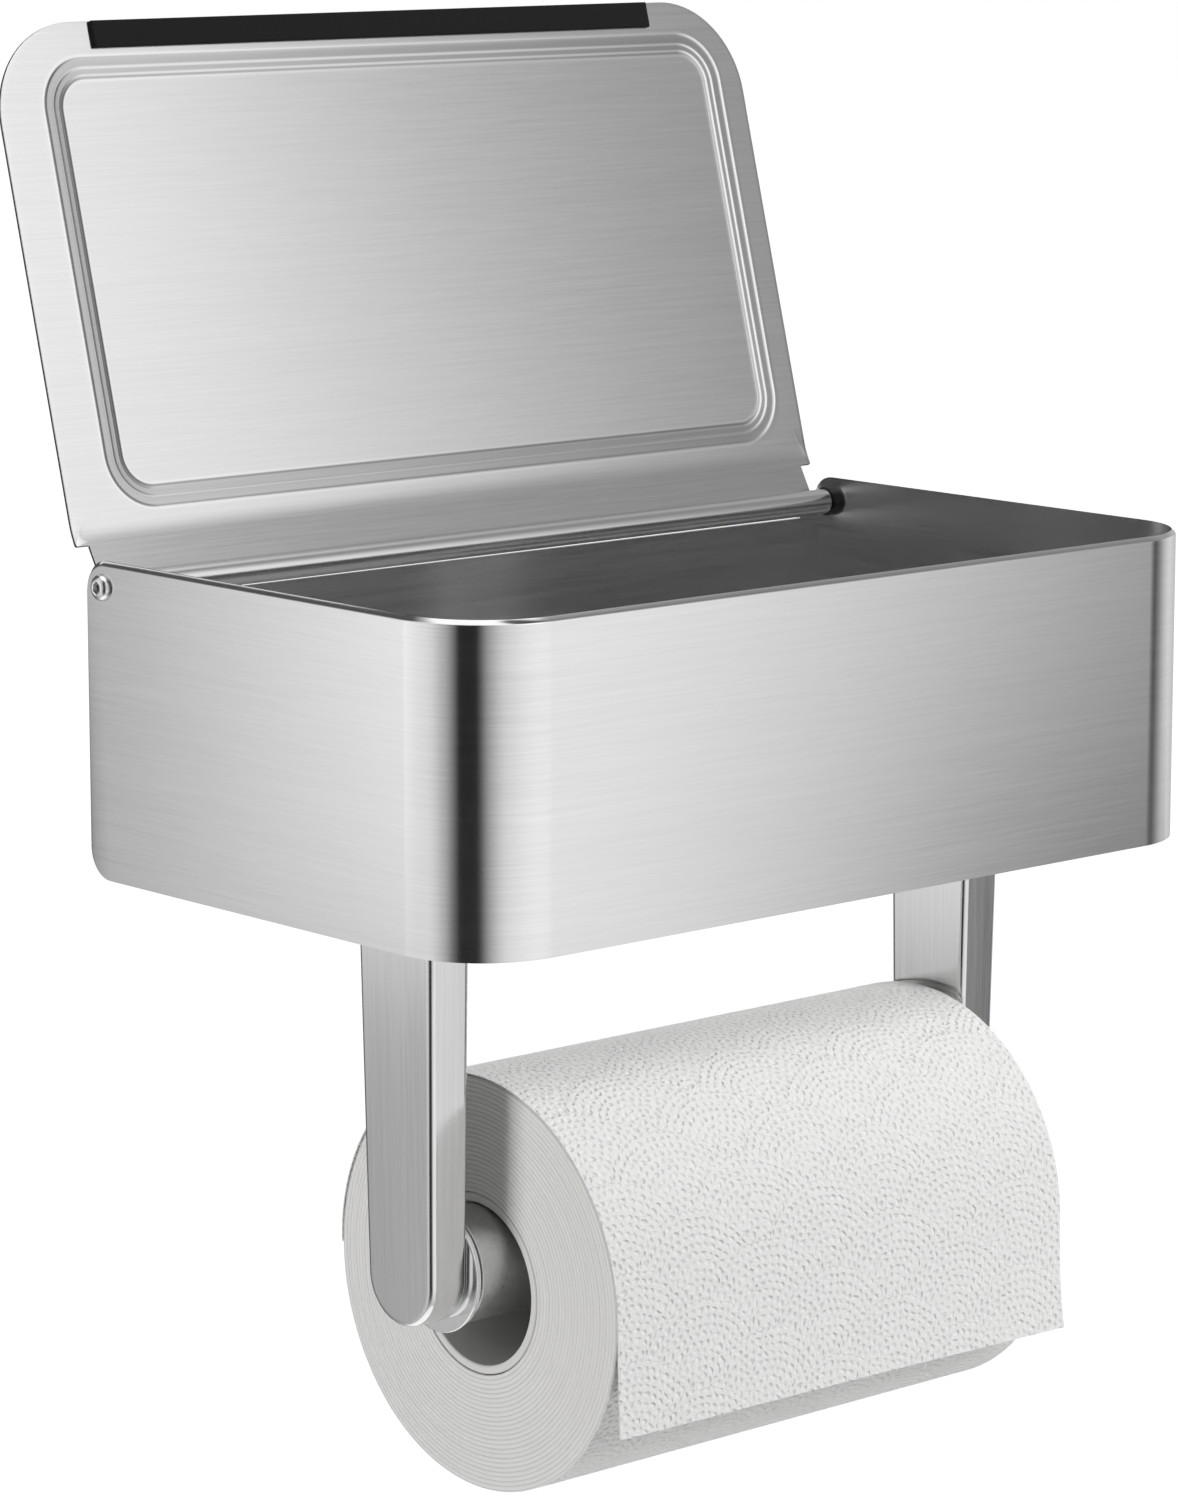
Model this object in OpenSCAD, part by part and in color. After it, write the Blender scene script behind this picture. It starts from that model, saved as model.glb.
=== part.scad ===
// Wall-hung toilet paper holder with a lidded storage box on top.
// Millimetres. The wall is the plane y = 0, the front faces -Y, +X is the viewer's
// right and +Z is up. The origin is midway between the two wall-screw holes.
// The lid is drawn open, leaning back against its stop.

/* [Box] */
// Outside width of the box
box_w = 216.2; // [190:0.1:280]
// Outside depth of the box, wall to front
box_d = 127; // [104:0.1:170]
// Height of the box walls
box_h = 69.1; // [55:0.1:90]
// Outside radius of the two front corners
corner_r = 21; // [8:0.5:30]
// Thickness of the wrap-around wall sheet
wall_t = 1.3; // [0.8:0.1:2]
// Radius on the upper rear corner of each side wall
rear_top_r = 5.5; // [3:0.1:8]
// Radius on the lower rear corner, and of the bend from floor to back
rear_low_r = 6.6; // [4:0.1:10]
// Thickness of the floor and back sheet
tray_t = 1.2; // [0.8:0.1:2]
// How far the back panel stops below the rim
back_drop = 9.8; // [9.4:0.1:14]
// Width of each open-stop tab on the back panel
tab_w = 6; // [4:0.5:12]

/* [Wall holes] */
// Distance between the two wall-screw holes
wall_hole_pitch = 120; // [60:1:160]
// Radius of a wall-screw hole
wall_hole_r = 2.5; // [1.5:0.1:4]

/* [Hinge] */
// Hinge axis in front of the wall
hinge_in = 5.4; // [5:0.1:7]
// Hinge axis below the rim
hinge_drop = 5.6; // [5:0.1:8]
// Outside radius of the hinge tube
tube_r = 3; // [2.8:0.1:3.4]
// Radius of the fixed hinge rod
rod_r = 2.14; // [1.9:0.01:2.2]
// Play between rod and tube, on the radius
rod_play = 0.06; // [0.02:0.01:0.1]
// Thickness of each hinge washer
washer_t = 1.8; // [1:0.1:2.5]
// Outside radius of a hinge washer
washer_r = 3.4; // [3:0.1:4]
// Shank radius of a hinge screw
hinge_screw_r = 1.5; // [1:0.1:1.6]
// Head radius of a hinge screw
hinge_head_r = 2.85; // [2.4:0.05:3.5]
// Head height of a hinge screw
hinge_head_h = 1.65; // [1:0.05:2.2]
// How far a hinge screw reaches into the rod
hinge_screw_bite = 8; // [5:0.5:12]

/* [Lid] */
// Thickness of the lid sheet
lid_t = 0.8; // [0.6:0.1:1.5]
// Angle of the open lid above the horizontal
lid_open = 75; // [70:1:90]
// Lid overhang past the front of the box when shut
lid_over = 1.9; // [0:0.1:4]
// Lid overhang past each side wall
lid_side = 0.3; // [0:0.1:1]
// Gap between rim and shut lid
lid_gap = 1.34; // [1:0.02:3]
// Start of the full-width lid, from the hinge axis
lid_notch = 9.85; // [9:0.05:14]
// Bend of the hinge flange out of the lid plane
flange_bend = 15; // [8:1:20]
// Length of the hinge flange below its bend
flange_len = 8.5; // [7:0.1:9]
// Thickness of the rubber bumper strip
bumper_t = 1.2; // [0.6:0.1:2]
// Distance from each end of the bumper strip to the lid's round corner
bumper_end = 5.3; // [0:0.1:40]
// Width of the bumper strip
bumper_w = 6; // [4:0.1:9]

/* [Lid embossing] */
// Margin beside the embossed field
emb_side = 9.5; // [5:0.5:20]
// Sideways offset of the embossed field
emb_shift = 2.4; // [-4:0.1:4]
// Margin in front of the field
emb_front = 7.6; // [7:0.1:15]
// Margin behind the field
emb_rear = 6.75; // [5:0.05:15]
// Width of the stepped border
emb_band = 5.4; // [3:0.1:8]
// Depth of each of the two steps
emb_step = 0.25; // [0.1:0.05:0.4]
// Corner radius of the outer step
emb_r = 12; // [9:0.5:16]

/* [Arms] */
// Room beside the roll, both ends together
roll_room = 13.8; // [9.6:0.1:30]
// Thickness of an arm at its top
arm_t = 11; // [9:0.1:13]
// Depth of an arm at its top
arm_w = 24.3; // [22:0.1:30]
// Arm centre line in front of the wall
arm_in = 73; // [62:0.5:80]
// Roller axis below the box
arm_drop = 78.7; // [70:0.1:100]
// Radius of an arm's round end
arm_end_r = 10.66; // [9:0.02:12]
// Sideways taper of the outer face, per millimetre
arm_lean = 0.0124; // [0:0.0002:0.02]

/* [Arm screws] */
// Shank radius of an arm screw
arm_screw_r = 2; // [1.5:0.1:2.5]
// Screw distance along an arm's top
arm_screw_pitch = 12; // [10:0.5:14]
// Depth of an arm screw in the arm
arm_screw_bite = 10; // [6:0.5:14]
// Head radius of an arm screw
arm_head_r = 3.5; // [3:0.1:4]
// Head height of an arm screw
arm_head_h = 2.2; // [1.5:0.1:3]
// Radius of a flat washer
flat_r = 4.5; // [4:0.1:5]
// Thickness of a flat washer
flat_t = 0.8; // [0.5:0.1:1.2]

/* [Sockets] */
// Radius of a socket disc
disc_r = 13.6; // [12:0.1:16]
// Thickness of a socket disc
disc_t = 2.4; // [1.8:0.1:3]
// Radius of the boss that sits in the arm
boss_r = 5.5; // [5:0.1:7]
// Length of the boss
boss_l = 4.4; // [3.5:0.1:6]

/* [Roller] */
// Outside radius of the roller sleeve
sleeve_r = 12.4; // [11:0.1:13]
// Wall of the sleeve and of the plunger tube
sleeve_t = 1; // [0.8:0.1:1.5]
// Length of the roller sleeve
sleeve_l = 90; // [80:0.5:100]
// Play between sleeve and plunger tube, on the radius
sleeve_play = 0.08; // [0.03:0.01:0.1]
// Overlap of sleeve and plunger tube
tele_l = 30; // [20:1:40]
// Radius of the tip pins
pin_r = 4; // [3:0.1:4.5]
// Play between pin and socket, on the radius
pin_play = 0.06; // [0.02:0.01:0.1]
// Length of a tip's plug inside its tube
plug_l = 6; // [4:0.5:8]
// End gap between roller and socket disc
roller_gap = 0.3; // [0.2:0.05:0.6]
// How far the sprung end pushes in
push = 6; // [5.9:0.1:7]
// Wire radius of the spring
wire_r = 0.6; // [0.4:0.05:0.8]
// Mean radius of the spring
coil_r = 8; // [6:0.1:9]
// Number of spring turns
coil_n = 9; // [6:1:12]

/* [Paper] */
// Width of the paper roll
roll_w = 132.4; // [100:0.5:134]
// Sideways place of the roll on the roller
roll_shift = 4.2; // [-5:0.1:5]
// Radius of the wound paper
roll_r = 45.3; // [30:0.1:55]
// Inside radius of the cardboard core
core_r = 17.8; // [15:0.1:22]
// Wall of the cardboard core
core_t = 2; // [1:0.1:2.5]
// Space between roller and core where the roll hangs
hang_gap = 0.3; // [0.2:0.05:0.5]
// Thickness of the loose outer layer
sheet_t = 0.3; // [0.2:0.05:0.5]
// Space under the loose layer
sheet_gap = 0.3; // [0.3:0.05:0.5]
// Length of the tail below the roll's axis
tail_l = 23.8; // [10:0.1:60]

/* [Hidden] */
$fn = 96;
side_play = 0.1;                                  // end play of the lid between washers
stop_play = 0.3;                                  // lid flange above the open-stop tabs
pin_floor = 0.3;                                  // pin end to socket floor
socket_l = roller_gap + 5.6;                      // depth of a socket
z_top = box_h / 2;
z_low = -box_h / 2;
in_w = box_w / 2 - wall_t;                        // half width inside the walls
hinge_z = z_top - hinge_drop;
bore_r = rod_r + rod_play;
tube_x = in_w - washer_t - side_play;             // half length of tube and flange
lid_v = hinge_drop + lid_gap;                     // lid face to hinge axis
lid_u = box_d + lid_over - hinge_in;              // lid's front edge from the hinge axis
lid_x = box_w / 2 + lid_side;
lid_r = corner_r + (lid_side + lid_over) / 2;
flange_u = lid_notch - flange_len * cos(flange_bend);
flange_v = -lid_v + flange_len * sin(flange_bend);
bumper_l = 2 * (lid_x - lid_r - bumper_end);
arm_gap = roll_w + roll_room;                     // clear distance between the arms
axis_z = z_low - arm_drop;
floor_z = z_low + tray_t;
disc_x = arm_gap / 2 - disc_t;                    // face of a socket disc
roller_x = disc_x - roller_gap;                   // half length of the roller
pin_x = disc_x + socket_l - pin_floor;
hole_r = sleeve_r - sleeve_t;                     // bore of the sleeve
plunger_r = hole_r - sleeve_play;
plunger_x = -roller_x + sleeve_l - tele_l;        // inner end of the plunger tube
seat_l = 3;
spring_x0 = -roller_x + plug_l;
spring_x1 = plunger_x;
roll_z = axis_z + sleeve_r + hang_gap - core_r;
arm_x = arm_gap / 2 + arm_t / 2 - 0.5;            // arm screws' line
hex_r = 1.15;

// a cylinder along X from x0 to x1
module rod(x0, x1, r) {
  translate([x0, 0, 0]) rotate([0, 90, 0]) cylinder(h = x1 - x0, r = r);
}
// a 2D outline in Y and Z pushed along X
module along_x(x0, x1) {
  translate([x0, 0, 0]) rotate([90, 0, 90]) linear_extrude(x1 - x0) children();
}
// a turned shape about the X axis, outline given as x, radius
module turned(pts) {
  rotate([0, 90, 0]) rotate_extrude() polygon([for (p = pts) [p[1], p[0]]]);
}
module slab(w, l, r) {
  union() {
    translate([-w / 2 + r, 0]) square([w - 2 * r, l]);
    translate([-w / 2, r]) square([w, l - 2 * r]);
    for (x = [-1, 1], y = [r, l - r]) translate([x * (w / 2 - r), y]) circle(r);
  }
}
// plan of the box, front corners rounded, rear square at y = 0
module plan(half, front, r) {
  union() {
    translate([-half, -front + r]) square([2 * half, front - r]);
    translate([-half + r, -front]) square([2 * (half - r), front]);
    for (x = [-1, 1]) translate([x * (half - r), -front + r]) circle(r);
  }
}
module at_hinge() { translate([0, -hinge_in, hinge_z]) children(); }
module at_axis() { translate([0, -arm_in, axis_z]) children(); }
module at_roll() { translate([0, -arm_in, roll_z]) children(); }
module lid_frame() { at_hinge() rotate([lid_open, 0, 0]) children(); }

// side view of the walls: rear corners rounded, front square
module side_view() {
  union() {
    translate([-box_d - 1, z_low]) square([box_d + 1 - rear_low_r, box_h]);
    translate([-rear_low_r - 1, z_low + rear_low_r])
      square([rear_low_r + 1, box_h - rear_low_r - rear_top_r]);
    translate([-rear_low_r - 1, z_top - rear_top_r - 1])
      square([rear_low_r + 1 - rear_top_r, rear_top_r + 1]);
    translate([-rear_low_r, z_low + rear_low_r]) circle(rear_low_r);
    translate([-rear_top_r, z_top - rear_top_r]) circle(rear_top_r);
  }
}

module shell_band() {
  color("silver") difference() {
    intersection() {
      translate([0, 0, z_low]) linear_extrude(box_h) difference() {
        plan(box_w / 2, box_d, corner_r);
        translate([0, 1]) plan(in_w, box_d - wall_t + 1, corner_r - wall_t);
      }
      along_x(-box_w, box_w) side_view();
    }
    at_hinge() rod(-box_w, box_w, hinge_screw_r + 0.1);
  }
}

module tray_view() {
  union() {
    translate([-(box_d - wall_t), z_low]) square([box_d - wall_t - rear_low_r, tray_t]);
    translate([-tray_t, z_low + rear_low_r]) square([tray_t, box_h - back_drop - rear_low_r]);
    translate([-rear_low_r, z_low + rear_low_r]) intersection() {
      difference() { circle(rear_low_r); circle(rear_low_r - tray_t); }
      translate([0, -rear_low_r]) square(rear_low_r);
    }
  }
}

// height of the flange's underside over the back panel when the lid is open
tab_top = hinge_z + (flange_u - lid_t) * sin(lid_open) + flange_v * cos(lid_open) - stop_play;

module floor_back() {
  color("gainsboro") difference() {
    intersection() {
      union() {
        along_x(-in_w, in_w) tray_view();
        for (s = [-1, 1]) translate([s > 0 ? in_w - tab_w : -in_w, -tray_t, z_top - back_drop - 1])
          cube([tab_w, tray_t, tab_top - (z_top - back_drop - 1)]);
      }
      translate([0, 0, z_low - 1]) linear_extrude(box_h + 2)
        plan(in_w, box_d - wall_t, corner_r - wall_t);
    }
    for (s = [-1, 1]) translate([s * wall_hole_pitch / 2, 1, 0]) rotate([90, 0, 0])
      cylinder(h = tray_t + 2, r = wall_hole_r);
    at_arm_screws() translate([0, 0, z_low - 1]) cylinder(h = tray_t + 2, r = arm_screw_r + 0.2);
  }
}

module at_arm_screws() {
  for (s = [-1, 1], t = [-1, 1]) translate([s * arm_x, -arm_in + t * arm_screw_pitch / 2, 0]) children();
}

// side view of an arm: straight taper into a round end, from the roller axis
module arm_side() {
  lean = asin((arm_w / 2 - arm_end_r) / arm_drop);
  polygon(concat([[-arm_w / 2, arm_drop], [arm_w / 2, arm_drop]],
    [for (i = [0:48]) let (a = lean - i * (180 + 2 * lean) / 48) arm_end_r * [cos(a), sin(a)]]));
}
module arm(s) {
  low = arm_drop + arm_end_r + 1;
  difference() {
    at_axis() intersection() {
      along_x(-arm_gap, arm_gap) arm_side();
      mirror([s > 0 ? 0 : 1, 0, 0]) translate([0, arm_w, arm_drop]) rotate([90, 0, 0])
        linear_extrude(2 * arm_w)
          polygon([[arm_gap / 2, 0], [arm_gap / 2 + arm_t, 0],
                   [arm_gap / 2 + arm_t - arm_lean * low, -low], [arm_gap / 2, -low]]);
    }
    at_axis() mirror([s > 0 ? 0 : 1, 0, 0]) rod(arm_gap / 2 - 1, arm_gap / 2 + boss_l, boss_r);
    at_arm_screws() translate([0, 0, z_low - arm_screw_bite]) cylinder(h = arm_screw_bite + 1, r = arm_screw_r);
  }
}
module arm_left() { color("darkgray") arm(-1); }
module arm_right() { color("darkgray") arm(1); }

module arm_screws() {
  top = floor_z + flat_t;
  color("dimgray") at_arm_screws() difference() {
    union() {
      translate([0, 0, z_low - arm_screw_bite]) cylinder(h = top - z_low + arm_screw_bite, r = arm_screw_r);
      translate([0, 0, top]) cylinder(h = arm_head_h, r = arm_head_r);
    }
    translate([0, 0, top + 0.8]) cylinder(h = arm_head_h, r = 1.7, $fn = 6);
  }
}
module arm_screw_washers() {
  color("gray") at_arm_screws() translate([0, 0, floor_z]) difference() {
    cylinder(h = flat_t, r = flat_r);
    translate([0, 0, -1]) cylinder(h = flat_t + 2, r = arm_screw_r + 0.1);
  }
}

// disc with a stepped rim, a boss into the arm and a blind socket for the pin
module socket(s) {
  a = arm_gap / 2;
  color("lightsteelblue") at_axis() mirror([s > 0 ? 0 : 1, 0, 0]) turned([
    [disc_x, pin_r + pin_play], [disc_x, disc_r - 1], [disc_x + 0.5, disc_r - 0.4],
    [disc_x + 0.9, disc_r - 0.4], [disc_x + 0.9, disc_r], [a - 0.3, disc_r], [a, disc_r - 0.3],
    [a, boss_r], [a + boss_l, boss_r], [a + boss_l, 0],
    [disc_x + socket_l, 0], [disc_x + socket_l, pin_r + pin_play]]);
}
module socket_left() { socket(-1); }
module socket_right() { socket(1); }

module hinge_rod() {
  color("slategray") at_hinge() difference() {
    rod(-in_w, in_w, rod_r);
    for (s = [-1, 1]) rod(s > 0 ? in_w - hinge_screw_bite - 0.5 : -in_w - 1,
                          s > 0 ? in_w + 1 : -in_w + hinge_screw_bite + 0.5, hinge_screw_r);
  }
}
module hinge_screws() {
  a = box_w / 2;
  color("white") at_hinge() for (s = [0, 1]) mirror([s, 0, 0]) difference() {
    turned([[in_w - hinge_screw_bite, 0], [in_w - hinge_screw_bite, hinge_screw_r], [a, hinge_screw_r],
            [a, hinge_head_r], [a + 0.35, hinge_head_r], [a + 0.8, hinge_head_r * 0.92],
            [a + 1.25, hinge_head_r * 0.74], [a + hinge_head_h, hinge_head_r * 0.46],
            [a + hinge_head_h, 0]]);
    translate([a + hinge_head_h - 1.1, 0, 0]) rotate([0, 90, 0]) cylinder(h = 2, r = hex_r, $fn = 6);
  }
}
module hinge_washers() {
  color("black") at_hinge() for (s = [0, 1]) mirror([s, 0, 0]) difference() {
    rod(in_w - washer_t, in_w, washer_r);
    rod(in_w - washer_t - 1, in_w + 1, bore_r);
  }
}

// lid: in lid_frame +Y runs up the open lid, +Z points to the inside of the box
module lid_outline() {
  union() {
    translate([-lid_x, lid_notch]) square([2 * lid_x, lid_u - lid_r - lid_notch]);
    translate([-lid_x + lid_r, lid_notch]) square([2 * (lid_x - lid_r), lid_u - lid_notch]);
    for (x = [-1, 1]) translate([x * (lid_x - lid_r), lid_u - lid_r]) circle(lid_r);
  }
}
module field(inset) {
  w = 2 * (lid_x - emb_side - inset);
  l = lid_u - emb_front - lid_notch - emb_rear - 2 * inset;
  translate([emb_shift, lid_notch + emb_rear + inset]) slab(w, l, emb_r - inset);
}
module lid() {
  lift = lid_t / cos(flange_bend / 2);
  half = flange_bend / 2;
  color("gainsboro") lid_frame() union() {
    difference() {
      union() {
        translate([0, 0, -lid_v - lid_t]) linear_extrude(lid_t) lid_outline();
        translate([0, 0, -lid_v - lid_t - emb_step]) linear_extrude(lid_t) field(0);
        translate([0, 0, -lid_v - lid_t - 2 * emb_step]) linear_extrude(lid_t) field(emb_band);
      }
      translate([0, 0, -lid_v - emb_step]) linear_extrude(lid_t + 1) field(0);
      translate([0, 0, -lid_v - 2 * emb_step]) linear_extrude(lid_t + 1) field(emb_band);
    }
    difference() {
      along_x(-tube_x, tube_x) polygon([
        [lid_notch, -lid_v], [flange_u, flange_v], [0.35, -tube_r + 1], [-0.45, -tube_r + 1],
        [flange_u - lid_t - 0.1, flange_v + 0.1],
        [flange_u - lid_t * 0.9, flange_v - lid_t * 0.8],
        [lid_notch - lift * sin(half), -lid_v - lift * cos(half)], [lid_notch, -lid_v - lid_t]]);
      rod(-tube_x - 1, tube_x + 1, tube_r);
    }
  }
}
module hinge_tube() {
  c = min(0.5, 0.7 * (tube_r - bore_r));
  color("lightgray") at_hinge() turned([[-tube_x, bore_r], [-tube_x, tube_r - c], [-tube_x + c, tube_r],
    [tube_x - c, tube_r], [tube_x, tube_r - c], [tube_x, bore_r]]);
}
module lid_bumper() {
  color("black") lid_frame() translate([-bumper_l / 2, lid_u - bumper_w, -lid_v])
    cube([bumper_l, bumper_w, bumper_t]);
}

module roller_sleeve() {
  color("silver") at_axis() turned([[-roller_x, hole_r], [-roller_x, sleeve_r - 0.4], [-roller_x + 0.4, sleeve_r],
    [-roller_x + sleeve_l - 0.3, sleeve_r], [-roller_x + sleeve_l, sleeve_r - 0.3], [-roller_x + sleeve_l, hole_r]]);
}
// pin, shoulder and plug of the fixed end
module roller_tip_fixed() {
  color("white") at_axis() turned([[-pin_x, 0], [-pin_x, pin_r - 0.6], [-pin_x + 0.6, pin_r],
    [-roller_x, pin_r], [-roller_x, hole_r], [-roller_x + plug_l, hole_r], [-roller_x + plug_l, 0]]);
}
module plunger_tube() {
  color("lightgray") at_axis() turned([[plunger_x, plunger_r - sleeve_t], [plunger_x, plunger_r],
    [roller_x - 0.3, plunger_r], [roller_x, plunger_r - 0.3], [roller_x, plunger_r - sleeve_t]]);
}
module roller_tip_sprung() {
  color("white") at_axis() turned([[pin_x, 0], [pin_x, pin_r - 0.6], [pin_x - 0.6, pin_r],
    [roller_x, pin_r], [roller_x, plunger_r - sleeve_t], [roller_x - plug_l, plunger_r - sleeve_t],
    [roller_x - plug_l, 0]]);
}
module spring_seat() {
  color("tan") at_axis() rod(plunger_x, plunger_x + seat_l, plunger_r - sleeve_t);
}

// coil spring: one closed sweep of eight-sided wire
steps = 16 * coil_n;
sides = 8;
coil_from = spring_x0 + wire_r;
coil_run = spring_x1 - spring_x0 - 2 * wire_r;
module roller_spring() {
  ring = [for (i = [0 : steps]) for (j = [0 : sides - 1])
    let (a = 360 * i / 16, b = 360 * j / sides, r = coil_r + wire_r * cos(b))
    [coil_from + coil_run * i / steps + wire_r * sin(b), r * cos(a), r * sin(a)]];
  skin = [for (i = [0 : steps - 1]) for (j = [0 : sides - 1])
    let (n = (j + 1) % sides) each [[i * sides + j, (i + 1) * sides + j, (i + 1) * sides + n],
                                    [i * sides + j, (i + 1) * sides + n, i * sides + n]]];
  first = [for (j = [0 : sides - 1]) j];
  last = [for (j = [0 : sides - 1]) steps * sides + sides - 1 - j];
  color("steelblue") at_axis() polyhedron(points = ring, faces = concat(skin, [first, last]));
}

module roll_core() {
  color("burlywood") at_roll() translate([roll_shift, 0, 0]) difference() {
    rod(-roll_w / 2, roll_w / 2, core_r + core_t);
    rod(-roll_w / 2 - 1, roll_w / 2 + 1, core_r);
  }
}
module roll_paper() {
  color("whitesmoke") at_roll() translate([roll_shift, 0, 0]) difference() {
    rod(-roll_w / 2, roll_w / 2, roll_r);
    rod(-roll_w / 2 - 1, roll_w / 2 + 1, core_r + core_t);
  }
}
// outer layer from behind the roll over its top to the front, then the hanging tail
module loose_sheet() {
  r = roll_r + sheet_gap;
  color("white") at_roll() translate([roll_shift, 0, 0]) union() {
    translate([-roll_w / 2, 0, 0]) rotate([0, 90, 0]) rotate([0, 0, 90]) rotate_extrude_arc(r);
    translate([-roll_w / 2, -r - sheet_t, -tail_l]) cube([roll_w, sheet_t, tail_l]);
  }
}
module rotate_extrude_arc(r) {
  rotate([0, 0, 0]) rotate_extrude(angle = 180) translate([r, 0]) square([sheet_t, roll_w]);
}

shell_band();
floor_back();
arm_left();
arm_right();
arm_screws();
arm_screw_washers();
socket_left();
socket_right();
hinge_rod();
hinge_screws();
hinge_washers();
lid();
hinge_tube();
lid_bumper();
roller_sleeve();
roller_tip_fixed();
plunger_tube();
roller_tip_sprung();
spring_seat();
roller_spring();
roll_core();
roll_paper();
loose_sheet();
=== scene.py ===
import math
import random

import bmesh
import bpy
from mathutils import Matrix, Vector


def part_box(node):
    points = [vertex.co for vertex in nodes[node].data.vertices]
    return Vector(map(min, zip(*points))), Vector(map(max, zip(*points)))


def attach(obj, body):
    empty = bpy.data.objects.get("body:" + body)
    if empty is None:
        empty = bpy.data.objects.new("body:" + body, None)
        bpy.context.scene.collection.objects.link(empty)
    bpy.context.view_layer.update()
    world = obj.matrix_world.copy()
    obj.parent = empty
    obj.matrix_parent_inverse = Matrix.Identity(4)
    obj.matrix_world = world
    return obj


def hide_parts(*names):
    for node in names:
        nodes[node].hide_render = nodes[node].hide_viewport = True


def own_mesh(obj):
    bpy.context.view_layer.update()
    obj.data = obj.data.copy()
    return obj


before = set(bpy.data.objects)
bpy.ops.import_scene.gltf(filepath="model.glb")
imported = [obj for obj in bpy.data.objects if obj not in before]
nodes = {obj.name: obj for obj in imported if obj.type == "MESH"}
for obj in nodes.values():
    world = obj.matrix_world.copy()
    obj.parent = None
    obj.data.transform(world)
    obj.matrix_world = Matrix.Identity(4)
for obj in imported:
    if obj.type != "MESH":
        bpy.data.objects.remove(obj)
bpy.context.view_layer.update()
mm = 0.001
random.seed(7)
print("frame loaded,", len(nodes), "nodes")


def boxMm(node):
    low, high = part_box(node)
    return low / mm, high / mm


# camera first: it stands left of the holder and a little above the rim
view = dict(place=(-764.28, -906.52, 193.18), turn=-41.39, tilt=-10.18, lens=126.6)


def setCamera():
    data = bpy.data.cameras.new("camera")
    data.lens = view["lens"]
    data.sensor_width = 36
    data.clip_start, data.clip_end = 0.05, 100
    camera = bpy.data.objects.new("camera", data)
    bpy.context.scene.collection.objects.link(camera)
    camera.location = Vector(view["place"]) * mm
    camera.rotation_euler = (math.radians(90 + view["tilt"]), 0, math.radians(view["turn"]))
    bpy.context.scene.camera = camera
    bpy.context.scene.view_settings.view_transform = "Standard"


setCamera()


# small helpers for building node trees
def newMaterial(name):
    material = bpy.data.materials.new(name)
    material.use_nodes = True
    tree = material.node_tree
    shader = tree.nodes["Principled BSDF"]
    return material, tree, shader


def put(tree, kind, settings=None, **inputs):
    node = tree.nodes.new(kind)
    for key, value in (settings or {}).items():
        setattr(node, key, value)
    for key, value in inputs.items():
        socket = node.inputs[int(key[1:])] if key[0] == "i" and key[1:].isdigit() else node.inputs[key]
        if isinstance(value, bpy.types.NodeSocket):
            tree.links.new(value, socket)
        else:
            socket.default_value = value
    return node


def calc(tree, operation, first, second=0.0, clamp=False):
    settings = {"operation": operation, "use_clamp": clamp}
    return put(tree, "ShaderNodeMath", settings, i0=first, i1=second).outputs[0]


def wrap(tree, value, high, low):
    return put(tree, "ShaderNodeMath", {"operation": "WRAP"}, i0=value, i1=high, i2=low).outputs[0]


# a value's own range, turned into another range
def spread(tree, value, own, other, settings=None):
    node = put(tree, "ShaderNodeMapRange", settings, Value=value)
    for socket, level in zip(("From Min", "From Max", "To Min", "To Max"), (*own, *other)):
        node.inputs[socket].default_value = level
    return node.outputs[0]


def tint(tree, colour, other):
    settings = {"data_type": "RGBA", "blend_type": "MULTIPLY"}
    return put(tree, "ShaderNodeMix", settings, i0=1.0, i6=colour, i7=other).outputs[2]


# distance from an axis or a centre, out of its two parts
def distance(tree, one, two):
    squares = [calc(tree, "MULTIPLY", part, part) for part in (one, two)]
    return calc(tree, "SQRT", calc(tree, "ADD", *squares))


def ramp(tree, value, stops):
    node = put(tree, "ShaderNodeValToRGB", None, i0=value)
    marks = node.color_ramp.elements
    while len(marks) < len(stops):
        marks.new(0.5)
    for mark, (position, tone) in zip(marks, stops):
        mark.position = position
        mark.color = tone if len(tone) == 4 else (*tone, 1)
    return node.outputs["Color"]


def grey(level, warm=0.0):
    return (level * (1 + warm), level, level * (1 - warm))


def noiseAt(tree, scale, detail=3.0, rough=0.5, shift=(0, 0, 0)):
    where = put(tree, "ShaderNodeTexCoord").outputs["Object"]
    spot = put(tree, "ShaderNodeMapping", None, Vector=where, Scale=scale, Location=shift).outputs[0]
    made = put(tree, "ShaderNodeTexNoise", None, Vector=spot, Scale=1.0, Detail=detail, Roughness=rough)
    return made.outputs[0]


# the middle of a noise, where most of its values lie
noiseRange = (0.3, 0.7)
# brushed metal: how much fine scratches, broader streaks and a faint haze each count
brushing = dict(fine=0.45, broad=0.35, haze=0.2, roughSpread=0.12, scratch=0.00002)
# the lid's painted band shade: a distance in mm from the emboss outline, from -1 to 6, as a share of this
# span
bandFrom, bandSpan = -1, 7


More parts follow.
